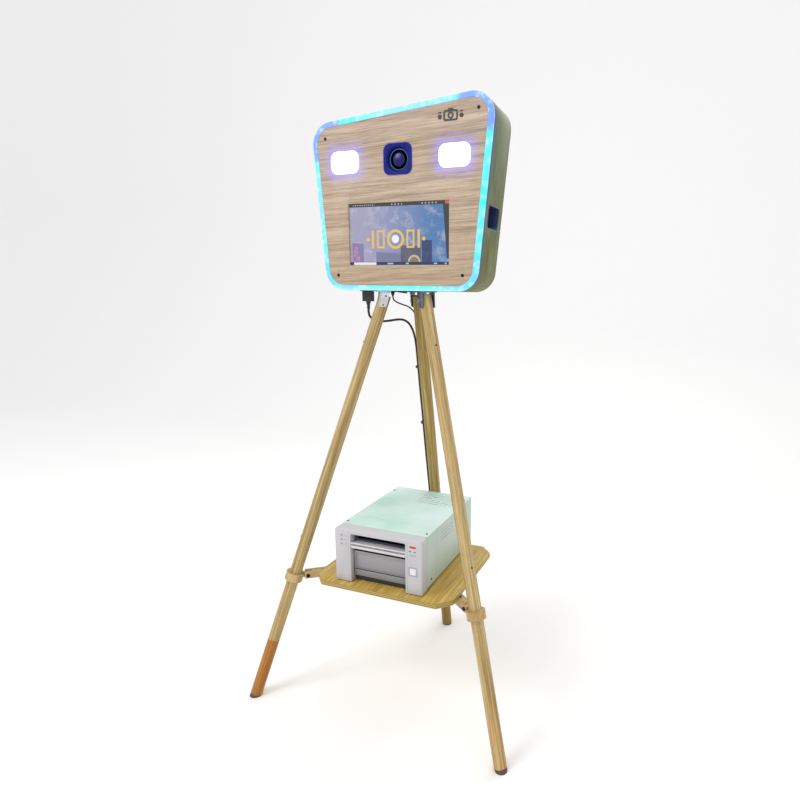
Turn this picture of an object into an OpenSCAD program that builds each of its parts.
// Free-standing photo booth: a lit wooden camera head on a wooden tripod, with a print tray.
// Millimetres, +Z up, +X to the object's right in front view, front faces -Y.
// The origin is on the floor, at the centre of the box round the three feet.

/* [Head] */
// Length of the head's level bottom edge
head_w = 462; // [420:2:560]
// How far the left side leans out over its height
head_lean_left = 35; // [20:1:50]
// How far the right side leans out over its height
head_lean_right = 49; // [20:1:60]
// Height of the left side
head_h_left = 448; // [430:1:560]
// Height of the right side
head_h_right = 499; // [450:1:600]
// Depth of the head, front to back
head_d = 150; // [130:1:200]
// Radius of the outline's corners
head_corner_r = 60; // [40:1:80]
// Thickness of the wooden side wall
wall_t = 12; // [9:0.5:15]
// Thickness of the front panel
front_t = 6; // [4:0.5:8]
// Thickness of the back panel
back_t = 8; // [6:0.5:12]
// Width of the light frame round the front
band_w = 14; // [10:0.5:18]
// Depth of the light frame along the side
band_d = 15; // [10:0.5:20]
// Wall thickness of the light frame
band_t = 4; // [3:0.5:5]
// Distance of the front screws from the outline
screw_inset = 42; // [36:1:50]

/* [Front] */
// Height of the camera and the lights above the head's bottom
eye_up = 345; // [335:1:360]
// Sideways place of the camera window
eye_x = 4; // [0:1:8]
// Distance between the two lights
light_pitch = 328; // [320:1:340]
// Width of a light
light_w = 89; // [80:1:95]
// Height of a light
light_h = 59; // [50:1:70]
// Width of the camera window
window_w = 87; // [80:1:110]
// Height of the camera window
window_h = 82; // [78:1:100]
// Corner radius of the lights and the window
window_r = 20; // [8:1:24]
// Radius of the lens barrel
lens_r = 30; // [24:1:34]
// Width of the screen opening
screen_w = 307; // [280:1:330]
// Height of the screen opening
screen_h = 166; // [150:1:180]
// Height of the screen's lower edge above the head's bottom
screen_up = 70; // [64:1:80]

/* [Back and sides] */
// Width of the service door
door_w = 260; // [200:2:300]
// Height of the service door
door_h = 300; // [200:2:320]
// Height of the door's lower edge above the head's bottom
door_up = 68; // [60:1:90]
// Width of a grip recess, front to back
grip_w = 88; // [70:1:100]
// Height of a grip recess
grip_h = 63; // [50:1:70]
// Height of the grip recess's middle above the head's bottom
grip_up = 196; // [180:1:230]
// Depth of a grip recess
grip_depth = 42; // [30:1:50]

/* [Tripod] */
// Height of the head's bottom above the floor
head_z = 1232; // [1150:1:1300]
// Radius of the front feet from the hub
front_spread = 499; // [450:1:560]
// Angle of a front leg from straight ahead
front_angle = 53; // [50:1:60]
// Radius of the rear foot from the hub
rear_spread = 263; // [240:1:330]
// Radius of the front hinge bolts from the hub
front_hinge_r = 85; // [80:1:95]
// Radius of the rear hinge bolt from the hub
rear_hinge_r = 39; // [34:1:39]
// Diameter of a leg
leg_d = 35; // [30:1:38]
// Height of the joint between the upper and lower leg
seam_h = 182; // [120:1:260]

/* [Tray] */
// Width of the tray
tray_w = 438; // [400:1:450]
// Depth of the tray
tray_d = 379; // [360:1:400]
// Thickness of the tray
tray_t = 15; // [12:1:20]
// Height of the tray's top
tray_z = 406; // [380:1:430]
// Size of the tray's corner cuts
tray_cut = 37; // [20:1:50]
// Width of a tray arm
arm_w = 27; // [24:1:32]
// Height of a tray arm
arm_h = 19; // [17:1:24]

/* [Printer] */
// Width of the printer
printer_w = 275; // [260:1:300]
// Depth of the printer
printer_d = 374; // [340:1:380]
// Height of the printer without its feet
printer_h = 156; // [150:1:190]
// Depth of the front bezel
bezel_d = 35; // [30:1:45]
// Width of the opening in the bezel
mouth_w = 174; // [160:1:180]
// Height of the scrap bin's front
bin_h = 66; // [50:1:70]
// Length of the scrap bin
bin_l = 140; // [120:1:160]
// Radius of the paper roll
roll_r = 48; // [30:1:50]
// Radius of the platen roller
platen_r = 9; // [7:0.5:12]

/* [Cords] */
// Diameter of the power cord
cord_d = 7; // [6:0.5:8]
// Diameter of the data cable
cable_d = 4.5; // [4:0.25:5]

/* [Hidden] */
$fn = 48;

// Clearances
fit_gap = 0.3;
bolt_gap = 0.2;
run_gap = 0.06;

// Head outline, counter-clockwise from the bottom left, as x and z
arc_steps = 8;
head_corners = [
    [-head_w / 2, head_z],
    [head_w / 2, head_z],
    [head_w / 2 + head_lean_right, head_z + head_h_right],
    [-head_w / 2 - head_lean_left, head_z + head_h_left]];
front_y = -71;
panel_y = front_y + 1;
panel_back = panel_y + front_t;
band_back = front_y + band_d;
back_y = front_y + head_d;
door_y = back_y - back_t;
flange_in = 46;
flange_t = 6;
eye_z = head_z + eye_up;
screen_z = head_z + screen_up + screen_h / 2;
screen_t = 10;
screen_margin = 8;
door_z = head_z + door_up + door_h / 2;
grip_y = 8;
grip_z = head_z + grip_up;
grip_t = 3;
window_lip = 4;
lip_t = 2.5;
lean_left = atan(head_lean_left / head_h_left);
lean_right = atan(head_lean_right / head_h_right);

// Lens and camera, measured back from the window's lip
lens_front = panel_back + lip_t + 1.5;
lens_l = 42;
ring_l = 14;
ring_t = 3;
camera_w = 122;
camera_h = window_h + 2 * window_lip + 4;
camera_d = 52;
camera_y = lens_front + lens_l;
bracket_t = 3;

// Tripod: leg 0 is front left, leg 1 front right, leg 2 rear
LEGS = [0, 1, 2];
hub_y = (front_spread * cos(front_angle) - rear_spread) / 2;
leg_az = [-90 - front_angle, -90 + front_angle, 90];
foot_r = [front_spread, front_spread, rear_spread];
hinge_r = [front_hinge_r, front_hinge_r, rear_hinge_r];
hinge_z = head_z - 27;
leg_r = leg_d / 2;
leg_len = [for (i = LEGS) norm([foot_r[i] - hinge_r[i], hinge_z])];
leg_tilt = [for (i = LEGS) atan((foot_r[i] - hinge_r[i]) / hinge_z)];
pad_h = 8;
stud_r = 8;
stud_l = 30;
hinge_bolt_r = 4;
plate_t = 3;
plate_w = 40;
cheek_drop = 46;

// Tray, arms and collars
tray_x = 8;
tray_y = -46.5;
tray_under = tray_z - tray_t;
arm_z = tray_under - 0.5 - arm_h / 2;
slot_d = 20;
tongue_t = 9;
tongue_h = arm_h - 3;
collar_r = leg_r + 9;
collar_h = 24;
arm_bolt_r = 3;
collar_at = [for (i = LEGS) foot_r[i] - (foot_r[i] - hinge_r[i]) * arm_z / hinge_z];
arm_out = [for (i = LEGS) collar_at[i] - collar_r - 3];
arm_in = [
    (tray_w / 2 - tray_x) / cos(90 - front_angle) + 3,
    (tray_w / 2 + tray_x) / cos(90 - front_angle) - 17,
    tray_y + tray_d / 2 - hub_y - 14];

// Printer, from its front left lower corner upward
printer_x = 3;
printer_z = tray_z + 6;
printer_top = printer_z + printer_h;
printer_leg_gap = 1;
rear_leg_face = hub_y + foot_r[2] - (foot_r[2] - hinge_r[2]) * printer_top / hinge_z
    - leg_r / cos(leg_tilt[2]);
printer_y = floor(rear_leg_face - printer_leg_gap - printer_d);
printer_back_y = printer_y + printer_d;
bezel_y = printer_y + bezel_d;
sheet_t = 2;
mouth_z = printer_z + 18;
mouth_top = printer_top - 13;
slot_h = 9;
ledge_z = mouth_top - 36;
bin_z = mouth_z + 12;
bin_w = mouth_w - 5;
bin_t = 2.5;
bin_y = printer_y + 14;
button_x = printer_x + 110;
button_z = printer_z + 64;
button_s = 20;
button_travel = 2;
rail_x = 66;
rail_w = 10;
cradle_x = 82;
cradle_t = 4;
roll_y = printer_y + 270;
roll_z = printer_z + 70;
platen_y = printer_y + 120;
platen_z = printer_z + 116;
spindle_r = 5;

// Inlet, switch and gland on the head's underside
inlet_x = -120;
inlet_y = -30;
switch_x = -4;
switch_y = -41;
gland_x = -55;
gland_y = -1;
socket_d = 18;
rocker_l = 28.4;
rocker_w = 13.4;
rocker_t = 8;
rocker_tilt = 7;
rocker_z = head_z - 1;
rocker_pin_r = 1.2;

// Service door hinge
pin_r = 1.5;
knuckle_r = 3;
knuckle_l = 10;
leaf_t = 1.2;
leaf_w = 26;
door_axis_x = -door_w / 2 - 0.5;
door_axis_y = back_y + knuckle_r + 0.4;
hinge_offsets = [-70, 70];

// The power cord, from its connector, down the rear leg and back to its coil
coil_at = [-126, 465];
coil_r = 40;
coil_h = 18;
power_route = [[-120, -30, 1180], [-120, -30, 1170], [-118, -28, 1159], [-112, -22, 1150],
    [-103, -14, 1145], [-88, 0, 1143], [-72, 14, 1145], [-56, 28, 1148], [-43, 40, 1147],
    [-33, 51, 1139], [-27, 62, 1124], [-23, 73, 1100], [-22, 85, 1060], [-22, 107, 940], [-22, 126, 840], [-22, 144, 740],
    [-22, 163, 640], [-22, 182, 540], [-23, 193, 480], [-29, 202, 430], [-34, 211, 381],
    [-30, 220, 332], [-24, 230, 280], [-22, 243, 210], [-21, 262, 145], [-15, 281, 100],
    [-9, 293, 58], [-11, 301, 32], [-18, 316, 13], [-28, 338, 5], [-46, 380, 4],
    [-62, 417, 6], [-77, 452, 11], [-89, 481, 14]];
tail_route = [[-163, 449, 4], [-158, 438, 5], [-152, 424, 8]];
plug_turn = atan2(424 - 438, 158 - 152);
// The data cable, from its gland to the socket in the printer's back
usb_route = [[-55, -1, 1218], [-54, 3, 1207], [-47, 12, 1199], [-38, 27, 1193],
    [-32, 45, 1188], [-27, 62, 1180], [-21, 77, 1163], [-17, 88, 1135], [-15, 96, 1095], [-15, 111, 1000],
    [-15, 133, 880], [-15, 155, 760], [-15, 176, 650], [-18, 194, 560], [-28, 205, 515],
    [-40, 216, 485],
    [-52, 221, 462], [-59, 216, 446], [-60, 205, 440], [-60, 192, 440]];
usb_x = -60;
usb_z = 440;
clip_heights = [1000, 813];

// ---- Functions ----

function unit(v) = v / norm(v);
function corner_centre(a, p, b, r) =
    let (u = unit(a - p), v = unit(b - p)) p + unit(u + v) * r / sin(acos(u * v) / 2);
function edge_angle(p, q) = atan2(p[0] - q[0], q[1] - p[1]);
function turn_to(a, b) = b < a ? b + 360 : b;
function head_points(inset) = [for (i = [0:3])
    let (a = head_corners[(i + 3) % 4], p = head_corners[i], b = head_corners[(i + 1) % 4],
        c = corner_centre(a, p, b, head_corner_r), from = edge_angle(a, p),
        to = turn_to(from, edge_angle(p, b)))
    for (k = [0:arc_steps])
    let (t = from + (to - from) * k / arc_steps)
    c + (head_corner_r - inset) * [cos(t), sin(t)]];
function screw_at(i) = corner_centre(head_corners[(i + 3) % 4], head_corners[i],
    head_corners[(i + 1) % 4], screw_inset);
function rounded_points(w, h, r) = [for (i = [0:3])
    let (c = [[w / 2 - r, h / 2 - r], [r - w / 2, h / 2 - r],
        [r - w / 2, r - h / 2], [w / 2 - r, r - h / 2]][i])
    for (k = [0:6]) c + r * [cos(90 * i + 15 * k), sin(90 * i + 15 * k)]];
function tangent(p, i) = unit(p[min(i + 1, len(p) - 1)] - p[max(i - 1, 0)]);
function side_of(v, t) = unit(v - (v * t) * t);
// One smooth curve through the points, with a ring at each and one between
function smooth(p) = [for (i = [0:len(p) - 2])
    let (a = p[max(i - 1, 0)], b = p[i], c = p[i + 1], d = p[min(i + 2, len(p) - 1)])
    for (v = [b, (9 * (b + c) - a - d) / 16]) v];
function route(p) = concat(smooth(p), [p[len(p) - 1]]);
function sides(p) = [for (i = 0, n = side_of([0.3, 0.9, 0.2], tangent(p, 0)); i < len(p);
    n = side_of(n, tangent(p, min(i + 1, len(p) - 1))), i = i + 1) n];

// ---- Shared shapes ----

// A plate of the head's outline, from one depth to another
module outline_plate(y0, y1, inset) {
    translate([0, y1, 0])
        rotate([90, 0, 0])
            linear_extrude(y1 - y0)
                polygon(head_points(inset));
}

module outline_ring(y0, y1, outer, inner) {
    difference() {
        outline_plate(y0, y1, outer);
        outline_plate(y0 - 1, y1 + 1, inner);
    }
}

// A rounded rectangle that faces the front
module facing(x, z, w, h, r, y0, y1) {
    translate([x, y1, z])
        rotate([90, 0, 0])
            linear_extrude(y1 - y0)
                polygon(rounded_points(w, h, r));
}

// A cylinder along +Y
module along_y(x, z, r, y0, y1) {
    translate([x, y0, z])
        rotate([-90, 0, 0])
            cylinder(r = r, h = y1 - y0);
}

// A cylinder along +X
module along_x(y, z, r, x0, x1) {
    translate([x0, y, z])
        rotate([0, 90, 0])
            cylinder(r = r, h = x1 - x0);
}

module box(x0, x1, y0, y1, z0, z1) {
    translate([x0, y0, z0])
        cube([x1 - x0, y1 - y0, z1 - z0]);
}

// The frame of a side wall's grip: local +X points out of the wall
module at_side(side) {
    up = grip_z - head_z;
    if (side > 0)
        translate([head_w / 2 + up * tan(lean_right), grip_y, grip_z])
            rotate([0, lean_right, 0])
                children();
    else
        translate([-head_w / 2 - up * tan(lean_left), grip_y, grip_z])
            mirror([1, 0, 0])
                rotate([0, lean_left, 0])
                    children();
}

// Local +X points from the hub towards leg i
module at_azimuth(i) {
    translate([0, hub_y, 0])
        rotate([0, 0, leg_az[i]])
            children();
}

// Local +Z runs up leg i from its foot
module on_leg(i) {
    at_azimuth(i)
        translate([foot_r[i], 0, 0])
            rotate([0, -leg_tilt[i], 0])
                children();
}

// A bolt across leg i's direction, with a head on each side
module cross_bolt(i, r, z, bolt_r, half, head_r, head_h) {
    at_azimuth(i)
        translate([r, 0, z])
            rotate([90, 0, 0]) {
                translate([0, 0, -half - head_h])
                    cylinder(r = bolt_r, h = 2 * half + 2 * head_h);
                translate([0, 0, half])
                    cylinder(r = head_r, h = head_h);
                translate([0, 0, -half - head_h])
                    cylinder(r = head_r, h = head_h);
            }
}

module cross_bore(i, r, z, bore_r) {
    at_azimuth(i)
        translate([r, 0, z])
            rotate([90, 0, 0])
                translate([0, 0, -60])
                    cylinder(r = bore_r, h = 120);
}

// A round tube swept along a route
module tube(p, d, n) {
    s = sides(p);
    rings = len(p);
    verts = [for (i = [0:rings - 1])
        let (t = tangent(p, i), w = cross(t, s[i]))
        for (k = [0:n - 1]) p[i] + d / 2 * (cos(360 * k / n) * s[i] + sin(360 * k / n) * w)];
    walls = [for (i = [0:rings - 2], k = [0:n - 1])
        [i * n + k, (i + 1) * n + k, (i + 1) * n + (k + 1) % n, i * n + (k + 1) % n]];
    first = [for (k = [0:n - 1]) k];
    last = [for (k = [0:n - 1]) rings * n - 1 - k];
    polyhedron(points = verts, faces = concat([first], walls, [last]));
}

// ---- Head ----

module shell() {
    color("burlywood")
        difference() {
            union() {
                outline_ring(band_back, door_y, 0, wall_t);
                outline_ring(panel_back, band_back + flange_t, band_w + fit_gap, flange_in);
                outline_ring(band_back, band_back + flange_t, 0, band_w + 2);
            }
            for (side = [-1, 1])
                at_side(side)
                    box(-wall_t - 9, 9, -grip_w / 2, grip_w / 2, -grip_h / 2, grip_h / 2);
            for (i = [0:3])
                along_y(screw_at(i)[0], screw_at(i)[1], 1.8, panel_back - 1, band_back + flange_t + 1);
            translate([inlet_x, inlet_y, head_z - 1])
                cube([29, 23, 60], center = true);
            translate([switch_x, switch_y, head_z - 1])
                cube([37, 19, 60], center = true);
            translate([gland_x, gland_y, head_z - 1])
                cylinder(r = 4.2, h = wall_t + 2);
            box(-screen_w / 2 - screen_margin - fit_gap, screen_w / 2 + screen_margin + fit_gap,
                panel_back, band_back + flange_t + 1,
                screen_z - screen_h / 2 - screen_margin - fit_gap,
                screen_z + screen_h / 2 + screen_margin + fit_gap);
            for (i = LEGS, s = [-1, 1])
                at_azimuth(i)
                    translate([hinge_r[i], 13 * s, head_z - 1])
                        cylinder(r = 2.2, h = wall_t + 2);
        }
}

module light_frame() {
    color("lightcyan") {
        difference() {
            outline_plate(front_y, band_back, 0);
            outline_plate(front_y - 1, front_y + band_t + 1, band_w);
            outline_plate(front_y + band_t, band_back + 1, band_t);
        }
    }
}

module led_strip() {
    color("aqua")
        outline_ring(front_y + band_t, band_back - 1, band_t, band_t + 2);
}

module front_panel() {
    color("wheat")
        difference() {
            outline_plate(panel_y, panel_back, band_w + fit_gap);
            for (s = [-1, 1])
                facing(eye_x + s * light_pitch / 2, eye_z, light_w, light_h, window_r,
                    panel_y - 1, panel_back + 1);
            facing(eye_x, eye_z, window_w, window_h, window_r, panel_y - 1, panel_back + 1);
            facing(0, screen_z, screen_w, screen_h, 1, panel_y - 1, panel_back + 1);
            for (i = [0:3])
                along_y(screw_at(i)[0], screw_at(i)[1], 2, panel_y - 1, panel_back + 1);
        }
}

module front_screws() {
    color("black")
        for (i = [0:3]) {
            along_y(screw_at(i)[0], screw_at(i)[1], 3.6, panel_y - 0.8, panel_y);
            along_y(screw_at(i)[0], screw_at(i)[1], 1.6, panel_y - 0.1, band_back + flange_t);
        }
}

// A window that fills its opening, with a lip behind the panel
module lipped_window(x, w, h) {
    facing(x, eye_z, w - fit_gap, h - fit_gap, window_r, panel_y, panel_back + lip_t);
    facing(x, eye_z, w + 2 * window_lip, h + 2 * window_lip, window_r, panel_back, panel_back + lip_t);
}

module light_left() {
    color("white")
        lipped_window(eye_x - light_pitch / 2, light_w, light_h);
}

module light_right() {
    color("white")
        lipped_window(eye_x + light_pitch / 2, light_w, light_h);
}

module camera_window() {
    color("midnightblue")
        lipped_window(eye_x, window_w, window_h);
}

module lens_barrel() {
    color("black")
        difference() {
            union() {
                along_y(eye_x, eye_z, lens_r - 4, lens_front, camera_y);
                along_y(eye_x, eye_z, lens_r, camera_y - 8, camera_y);
            }
            along_y(eye_x, eye_z, lens_r - 7, lens_front - 1, lens_front + 12);
        }
}

module lens_ring() {
    color("dimgray")
        difference() {
            along_y(eye_x, eye_z, lens_r, lens_front + 10, lens_front + 10 + ring_l);
            along_y(eye_x, eye_z, lens_r - 4 + run_gap, lens_front, camera_y);
        }
}

module lens_glass() {
    color("darkcyan")
        along_y(eye_x, eye_z, lens_r - 7, lens_front + 7, lens_front + 12);
}

module camera_body() {
    color("black")
        box(eye_x - camera_w / 2, eye_x + camera_w / 2, camera_y, camera_y + camera_d,
            eye_z - camera_h / 2, eye_z + camera_h / 2);
}

// A bent plate that carries the camera and is screwed to the back of the front panel
module camera_bracket() {
    under = eye_z - camera_h / 2;
    color("silver") {
        box(eye_x - 40, eye_x + 40, panel_back, camera_y + camera_d, under - bracket_t, under);
        box(eye_x - 40, eye_x + 40, panel_back, panel_back + bracket_t, under - 14, under);
    }
}

module screen() {
    color("steelblue")
        box(-screen_w / 2 - screen_margin, screen_w / 2 + screen_margin,
            panel_back, panel_back + screen_t,
            screen_z - screen_h / 2 - screen_margin, screen_z + screen_h / 2 + screen_margin);
}

module computer() {
    color("dimgray")
        box(-90, 90, panel_back + screen_t, panel_back + screen_t + 26, screen_z - 65, screen_z + 65);
}

module power_supply() {
    color("silver")
        box(20, 130, 0, 55, head_z + wall_t, head_z + wall_t + 34);
}

module back_panel() {
    color("burlywood")
        difference() {
            outline_plate(door_y, back_y, 0);
            box(-door_w / 2, door_w / 2, door_y - 1, back_y + 1,
                door_z - door_h / 2, door_z + door_h / 2);
        }
}

module hinge_part(x0, x1, z0, z1, bore) {
    difference() {
        union() {
            box(x0, x1, back_y, back_y + leaf_t, z0, z1);
            translate([door_axis_x, door_axis_y, z0])
                cylinder(r = knuckle_r, h = z1 - z0);
        }
        translate([door_axis_x, door_axis_y, z0 - 1])
            cylinder(r = bore, h = z1 - z0 + 2);
    }
}

module service_door() {
    color("tan") {
        box(-door_w / 2 + 1, door_w / 2 - 1, door_y, back_y,
            door_z - door_h / 2 + 1, door_z + door_h / 2 - 1);
        for (z = hinge_offsets)
            hinge_part(door_axis_x + 1, door_axis_x + leaf_w,
                door_z + z - knuckle_l / 2, door_z + z + knuckle_l / 2, pin_r + run_gap);
    }
}

module door_hinges() {
    color("silver")
        for (z = hinge_offsets, s = [-1, 1]) {
            low = door_z + z + (s > 0 ? knuckle_l / 2 + fit_gap : -1.5 * knuckle_l - fit_gap);
            hinge_part(door_axis_x - leaf_w, door_axis_x - 1, low, low + knuckle_l, pin_r);
            translate([door_axis_x, door_axis_y, door_z + z - 1.5 * knuckle_l - fit_gap])
                cylinder(r = pin_r, h = 3 * knuckle_l + 2 * fit_gap);
        }
}

module door_pull() {
    color("black")
        translate([door_w / 2 - 24, back_y, door_z])
            rotate([-90, 0, 0])
                rotate_extrude()
                    polygon([[0, 0], [6, 0], [6, 6], [10, 10], [10, 14], [8, 16], [0, 16]]);
}

// A grip is an open box let into the side wall
module grip(side) {
    at_side(side)
        difference() {
            box(-grip_depth, 0, -grip_w / 2 + fit_gap, grip_w / 2 - fit_gap,
                -grip_h / 2 + fit_gap, grip_h / 2 - fit_gap);
            box(-grip_depth + grip_t, 1, -grip_w / 2 + grip_t, grip_w / 2 - grip_t,
                -grip_h / 2 + grip_t, grip_h / 2 - grip_t);
        }
}

module grip_left() {
    color("darkslateblue")
        grip(-1);
}

module grip_right() {
    color("darkslateblue")
        grip(1);
}

// A plain aperture sign on the front panel's upper right corner
module front_mark() {
    color("black")
        translate([158, panel_y, head_z + head_h_left - 8])
            rotate([90, 0, 0])
                difference() {
                    cylinder(r = 13, h = 0.8);
                    translate([0, 0, -1])
                        cylinder(r = 10, h = 3);
                }
}

module power_inlet() {
    color("black")
        translate([inlet_x, inlet_y, head_z])
            difference() {
                union() {
                    box(-19, 19, -12.5, 12.5, -2, 0);
                    box(-14, 14, -11, 11, -1, 26);
                }
                box(-12.5, 12.5, -8.5, 8.5, -3, socket_d);
            }
}

module switch_frame() {
    color("black")
        translate([switch_x, switch_y, head_z])
            difference() {
                union() {
                    box(-20, 20, -11, 11, -3, 0);
                    box(-18, 18, -9, 9, -1, 16);
                }
                box(-15, 15, -7, 7, -4, 12);
                translate([0, -8.5, -1])
                    rotate([-90, 0, 0])
                        cylinder(r = rocker_pin_r + run_gap, h = 17);
            }
}

module rocker() {
    color("darkred")
        translate([switch_x, switch_y, rocker_z])
            rotate([0, rocker_tilt, 0]) {
                cube([rocker_l, rocker_w, rocker_t], center = true);
                translate([0, -8.2, 0])
                    rotate([-90, 0, 0])
                        cylinder(r = rocker_pin_r, h = 16.4);
            }
}

module cable_gland() {
    color("black")
        translate([gland_x, gland_y, head_z])
            difference() {
                union() {
                    translate([0, 0, -14])
                        cylinder(r1 = 3.4, r2 = 6, h = 10);
                    translate([0, 0, -4])
                        cylinder(r = 8, h = 4);
                    cylinder(r = 4, h = wall_t + 2);
                }
                translate([0, 0, -20])
                    cylinder(r = cable_d / 2 + 0.1, h = 50);
            }
}

// ---- Tripod ----

module leg_brackets() {
    color("lightsteelblue")
        for (i = LEGS)
            difference() {
                at_azimuth(i)
                    translate([hinge_r[i], 0, head_z]) {
                        box(-plate_w / 2, plate_w / 2, -24, 24, -plate_t, 0);
                        for (s = [-1, 1])
                            translate([0, s * (leg_r + fit_gap + plate_t / 2), -cheek_drop / 2])
                                cube([plate_w - 6, plate_t, cheek_drop], center = true);
                    }
                cross_bore(i, hinge_r[i], hinge_z, hinge_bolt_r + bolt_gap);
                at_azimuth(i)
                    for (s = [-1, 1])
                        translate([hinge_r[i], 13 * s, head_z - plate_t - 1])
                            cylinder(r = 2.2, h = plate_t + 2);
            }
}

module bracket_bolts() {
    color("silver")
        for (i = LEGS) {
            cross_bolt(i, hinge_r[i], hinge_z, hinge_bolt_r, leg_r + fit_gap + plate_t, 7, 4);
            for (s = [-1, 1])
                at_azimuth(i)
                    translate([hinge_r[i], 13 * s, head_z - plate_t]) {
                        translate([0, 0, -1.2])
                            cylinder(r = 4, h = 1.2);
                        cylinder(r = 2, h = 13);
                    }
        }
}

module upper_leg(i) {
    seam = seam_h / cos(leg_tilt[i]);
    color("peru")
        difference() {
            on_leg(i)
                translate([0, 0, seam + bolt_gap])
                    cylinder(r = leg_r, h = leg_len[i] - seam + 15);
            on_leg(i)
                translate([0, 0, seam - 1])
                    cylinder(r = stud_r + bolt_gap, h = stud_l + 2);
            cross_bore(i, hinge_r[i], hinge_z, hinge_bolt_r + bolt_gap);
        }
}

module lower_leg(i) {
    seam = seam_h / cos(leg_tilt[i]);
    color("chocolate")
        on_leg(i) {
            translate([0, 0, pad_h])
                cylinder(r = leg_r, h = seam - pad_h);
            translate([0, 0, seam - 1])
                cylinder(r = stud_r, h = stud_l);
        }
}

module upper_leg_left() {
    upper_leg(0);
}

module upper_leg_right() {
    upper_leg(1);
}

module upper_leg_rear() {
    upper_leg(2);
}

module lower_leg_left() {
    lower_leg(0);
}

module lower_leg_right() {
    lower_leg(1);
}

module lower_leg_rear() {
    lower_leg(2);
}

module foot_pads() {
    color("saddlebrown")
        for (i = LEGS)
            intersection() {
                on_leg(i)
                    translate([0, 0, -12])
                        cylinder(r = leg_r - 0.5, h = pad_h + 12);
                at_azimuth(i)
                    box(foot_r[i] - 30, foot_r[i] + 30, -30, 30, 0, 40);
            }
}

// Small screws on the outer face of each leg
module leg_screws() {
    color("dimgray")
        for (i = LEGS, z = [500, 1080])
            on_leg(i)
                translate([leg_r, 0, z / cos(leg_tilt[i])])
                    rotate([0, 90, 0])
                        cylinder(r = 2.6, h = 1.2);
}

module collars() {
    color("peru")
        for (i = LEGS)
            difference() {
                at_azimuth(i) {
                    translate([collar_at[i], 0, arm_z])
                        rotate([0, -leg_tilt[i], 0])
                            translate([0, 0, -collar_h / 2])
                                cylinder(r = collar_r, h = collar_h);
                    box(arm_out[i] - slot_d + 1, collar_at[i] - leg_r, -tongue_t / 2, tongue_t / 2,
                        arm_z - tongue_h / 2, arm_z + tongue_h / 2);
                }
                on_leg(i)
                    cylinder(r = leg_r + bolt_gap, h = 900);
                cross_bore(i, arm_out[i] - slot_d / 2, arm_z, arm_bolt_r + bolt_gap);
            }
}

module tray_arms() {
    color("burlywood")
        for (i = LEGS)
            difference() {
                at_azimuth(i)
                    difference() {
                        box(arm_in[i], arm_out[i], -arm_w / 2, arm_w / 2,
                            arm_z - arm_h / 2, arm_z + arm_h / 2);
                        for (x = [arm_in[i] - 1, arm_out[i] - slot_d])
                            box(x, x + slot_d + 1, -tongue_t / 2 - fit_gap, tongue_t / 2 + fit_gap,
                                arm_z - arm_h, arm_z + arm_h);
                    }
                cross_bore(i, arm_in[i] + slot_d / 2, arm_z, arm_bolt_r + bolt_gap);
                cross_bore(i, arm_out[i] - slot_d / 2, arm_z, arm_bolt_r + bolt_gap);
            }
}

// A block screwed under the tray, with a tongue for the arm
module tray_brackets() {
    color("black")
        for (i = LEGS)
            difference() {
                at_azimuth(i) {
                    box(arm_in[i] - 60, arm_in[i] - 2, -arm_w / 2, arm_w / 2,
                        arm_z - tongue_h / 2, tray_under);
                    box(arm_in[i] - 10, arm_in[i] + slot_d - 1, -tongue_t / 2, tongue_t / 2,
                        arm_z - tongue_h / 2, arm_z + tongue_h / 2);
                }
                cross_bore(i, arm_in[i] + slot_d / 2, arm_z, arm_bolt_r + bolt_gap);
            }
}

module arm_bolts() {
    color("black")
        for (i = LEGS) {
            cross_bolt(i, arm_in[i] + slot_d / 2, arm_z, arm_bolt_r, arm_w / 2, 5.5, 4);
            cross_bolt(i, arm_out[i] - slot_d / 2, arm_z, arm_bolt_r, arm_w / 2, 5.5, 4);
        }
}

module tray() {
    a = tray_w / 2;
    b = tray_d / 2;
    c = tray_cut;
    color("goldenrod")
        translate([tray_x, tray_y, tray_under])
            linear_extrude(tray_t)
                polygon([[a, c - b], [a, b - c], [a - c, b], [c - a, b],
                    [-a, b - c], [-a, c - b], [c - a, -b], [a - c, -b]]);
}

// ---- Printer ----

module printer_base() {
    inner = printer_w / 2 - sheet_t - fit_gap;
    color("gainsboro") {
        box(printer_x - inner, printer_x + inner, bezel_y, printer_back_y - sheet_t - fit_gap,
            printer_z, printer_z + 12);
        for (x = [-1, 1], y = [bezel_y + 30, printer_back_y - 40])
            translate([printer_x + x * (inner - 25), y, tray_z])
                cylinder(r = 11, h = printer_z - tray_z);
        for (s = [-1, 1])
            box(printer_x + s * rail_x - rail_w / 2, printer_x + s * rail_x + rail_w / 2,
                bezel_y + 2, bin_y + bin_l, printer_z + 11.5, bin_z - fit_gap);
        for (s = [-1, 1])
            difference() {
                box(printer_x + s * cradle_x - cradle_t / 2, printer_x + s * cradle_x + cradle_t / 2,
                    platen_y - 18, roll_y + 30, printer_z + 11.5, platen_z + 16);
                along_x(roll_y, roll_z, spindle_r + run_gap, printer_x - 100, printer_x + 100);
                along_x(platen_y, platen_z, spindle_r + run_gap, printer_x - 100, printer_x + 100);
                box(printer_x - 120, printer_x + 120, bezel_y, bin_y + bin_l + 2,
                    printer_z + 12, bin_z + bin_h + 2);
            }
    }
}

module printer_cover() {
    w = printer_w / 2;
    color("honeydew")
        difference() {
            box(printer_x - w, printer_x + w, bezel_y, printer_back_y, printer_z, printer_top);
            box(printer_x - w + sheet_t, printer_x + w - sheet_t, bezel_y - 1, printer_back_y + 1,
                printer_z - 1, printer_top - sheet_t);
        }
}

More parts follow.
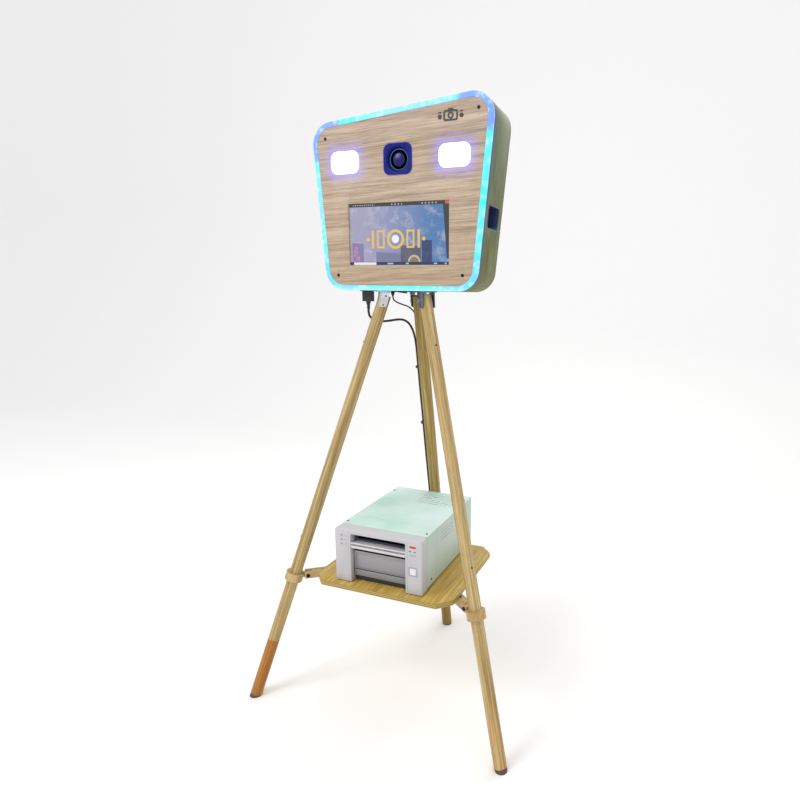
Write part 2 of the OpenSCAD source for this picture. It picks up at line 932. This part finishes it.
module printer_back() {
    inner = printer_w / 2 - sheet_t - fit_gap;
    color("lightgray")
        difference() {
            box(printer_x - inner, printer_x + inner, printer_back_y - sheet_t, printer_back_y,
                printer_z, printer_top - sheet_t - fit_gap);
            box(usb_x - 7, usb_x + 7, printer_back_y - 9, printer_back_y + 1, usb_z - 6.5, usb_z + 6.5);
            box(printer_x + 70, printer_x + 96, printer_back_y - 9, printer_back_y + 1,
                printer_z + 18, printer_z + 36);
        }
}

module printer_bezel() {
    w = printer_w / 2;
    m = mouth_w / 2;
    color("whitesmoke")
        difference() {
            facing(printer_x, (printer_z + printer_top) / 2 - 2, printer_w, printer_h + 4, 4,
                printer_y, bezel_y);
            box(printer_x - m, printer_x + m, printer_y - 1, bezel_y + 1, mouth_z, mouth_top);
            box(printer_x - m, printer_x + m, printer_y - 1, bezel_y + 1, printer_z - 9, printer_z + 9);
            translate([button_x, printer_y - 1, button_z])
                rotate([-90, 0, 0])
                    translate([-button_s / 2, -button_s / 2, 0])
                        cube([button_s, button_s, 13]);
            box(printer_x - w + 8, printer_x - m - 6, printer_y + 13, bezel_y + 1,
                printer_z + 6, printer_top - 8);
            box(printer_x + m + 6, printer_x + w - 8, printer_y + 13, bezel_y + 1,
                printer_z + 6, printer_top - 8);
        }
}

// The dark panel inside the mouth, with the slot that the prints come out of
module print_mouth() {
    m = mouth_w / 2 - fit_gap;
    color("dimgray")
        difference() {
            box(printer_x - m, printer_x + m, bezel_y - 9, bezel_y - 5, bin_z + bin_h + 2, mouth_top);
            box(printer_x - 78, printer_x + 78, bezel_y - 10, bezel_y - 4,
                ledge_z + 14, ledge_z + 14 + slot_h);
        }
}

module output_ledge() {
    m = mouth_w / 2;
    color("white") {
        box(printer_x - m, printer_x + m, printer_y + 4, bezel_y - 9, ledge_z, ledge_z + 9);
        box(printer_x - m, printer_x + m, printer_y - 0, printer_y + 4, ledge_z, ledge_z + 11);
    }
}

module scrap_bin() {
    m = bin_w / 2;
    color("silver")
        difference() {
            box(printer_x - m, printer_x + m, bin_y, bin_y + bin_l, bin_z, bin_z + bin_h);
            box(printer_x - m + bin_t, printer_x + m - bin_t, bin_y + bin_t, bin_y + bin_l - bin_t,
                bin_z + bin_t, bin_z + bin_h + 1);
        }
}

module power_button() {
    s = button_s / 2 - fit_gap;
    color("white")
        translate([button_x, printer_y, button_z])
            rotate([-90, 0, 0])
                translate([-s, -s, -1])
                    cube([2 * s, 2 * s, 10]);
}

module cover_screws() {
    color("dimgray") {
        for (x = [-1, 1], y = [bezel_y + 18, printer_back_y - 40])
            translate([printer_x + x * (printer_w / 2 - 10), y, printer_top])
                cylinder(r = 3, h = 1);
        for (y = [bezel_y + 24, printer_back_y - 24])
            along_x(y, printer_z + 20, 3, printer_x + printer_w / 2, printer_x + printer_w / 2 + 1);
    }
}

module roller(y, z, r) {
    along_x(y, z, r, printer_x - cradle_x + 5, printer_x + cradle_x - 5);
    along_x(y, z, spindle_r, printer_x - cradle_x - 4, printer_x + cradle_x + 4);
}

module paper_roll() {
    color("ivory")
        roller(roll_y, roll_z, roll_r);
}

module platen_roller() {
    color("black")
        roller(platen_y, platen_z, platen_r);
}

// ---- Cords ----

module power_connector() {
    color("black")
        translate([inlet_x, inlet_y, head_z]) {
            box(-12, 12, -8, 8, -3, socket_d - 1);
            box(-14, 14, -10, 10, -31, -2.5);
            translate([0, 0, -42])
                cylinder(r1 = cord_d / 2 + 1, r2 = 7.5, h = 11.5);
            translate([0, 0, power_route[0][2] - head_z])
                cylinder(r = cord_d / 2 + 1, h = 15);
        }
}

module power_cord() {
    color("black") {
        tube(route(power_route), cord_d, 8);
        tube(tail_route, cord_d, 8);
    }
}

module cord_coil() {
    inner = coil_r - cord_d / 2 - 0.3;
    outer = coil_r + cord_d / 2 + 0.3;
    color("black")
        translate([coil_at[0], coil_at[1], 0])
            rotate_extrude()
                translate([inner, 0])
                    square([outer - inner, coil_h]);
}

// The mains plug lies on the floor at the end of the cord
module mains_plug() {
    tip = tail_route[len(tail_route) - 1];
    color("black")
        translate([tip[0], tip[1], 0])
            rotate([0, 0, plug_turn]) {
                translate([24, 0, 9])
                    plug_body();
                translate([0, 0, 9])
                    rotate([0, 90, 0])
                        cylinder(r1 = cord_d / 2 + 0.6, r2 = 7, h = 24.5);
            }
}

module plug_body() {
    box(0, 30, -13, 13, -9, 9);
    for (s = [-1, 1])
        translate([29, 7 * s, 0])
            rotate([0, 90, 0])
                cylinder(r = 2.4, h = 20);
}

module usb_cable() {
    color("black")
        tube(usb_route, cable_d, 8);
}

module usb_plug() {
    color("black")
        translate([usb_x, printer_back_y, usb_z]) {
            box(-5.5, 5.5, -8, 1, -5, 5);
            box(-6.5, 6.5, 0.5, 20, -6, 6);
            translate([0, 20, 0])
                rotate([-90, 0, 0])
                    cylinder(r1 = 5, r2 = 3, h = 15);
        }
}

// Saddle clips that hold the power cord against the rear leg
module cable_clips() {
    color("lightgray")
        for (z = clip_heights)
            difference() {
                on_leg(2)
                    translate([0, leg_r + 4.5, z / cos(leg_tilt[2])])
                        cube([14, 11, 8], center = true);
                on_leg(2)
                    cylinder(r = leg_r + 0.05, h = leg_len[2]);
                on_leg(2)
                    translate([0, leg_r + 4.5, z / cos(leg_tilt[2]) - 10])
                        cylinder(r = cord_d / 2 + 0.9, h = 20);
            }
}

shell();
light_frame();
led_strip();
front_panel();
front_screws();
light_left();
light_right();
camera_window();
lens_barrel();
lens_ring();
lens_glass();
camera_body();
camera_bracket();
screen();
computer();
power_supply();
back_panel();
service_door();
door_hinges();
door_pull();
grip_left();
grip_right();
front_mark();
power_inlet();
switch_frame();
rocker();
cable_gland();
leg_brackets();
bracket_bolts();
upper_leg_left();
upper_leg_right();
upper_leg_rear();
lower_leg_left();
lower_leg_right();
lower_leg_rear();
foot_pads();
leg_screws();
collars();
tray_arms();
tray_brackets();
arm_bolts();
tray();
printer_base();
printer_cover();
printer_bezel();
print_mouth();
output_ledge();
scrap_bin();
power_button();
cover_screws();
paper_roll();
platen_roller();
printer_back();
power_connector();
power_cord();
cord_coil();
mains_plug();
usb_cable();
usb_plug();
cable_clips();
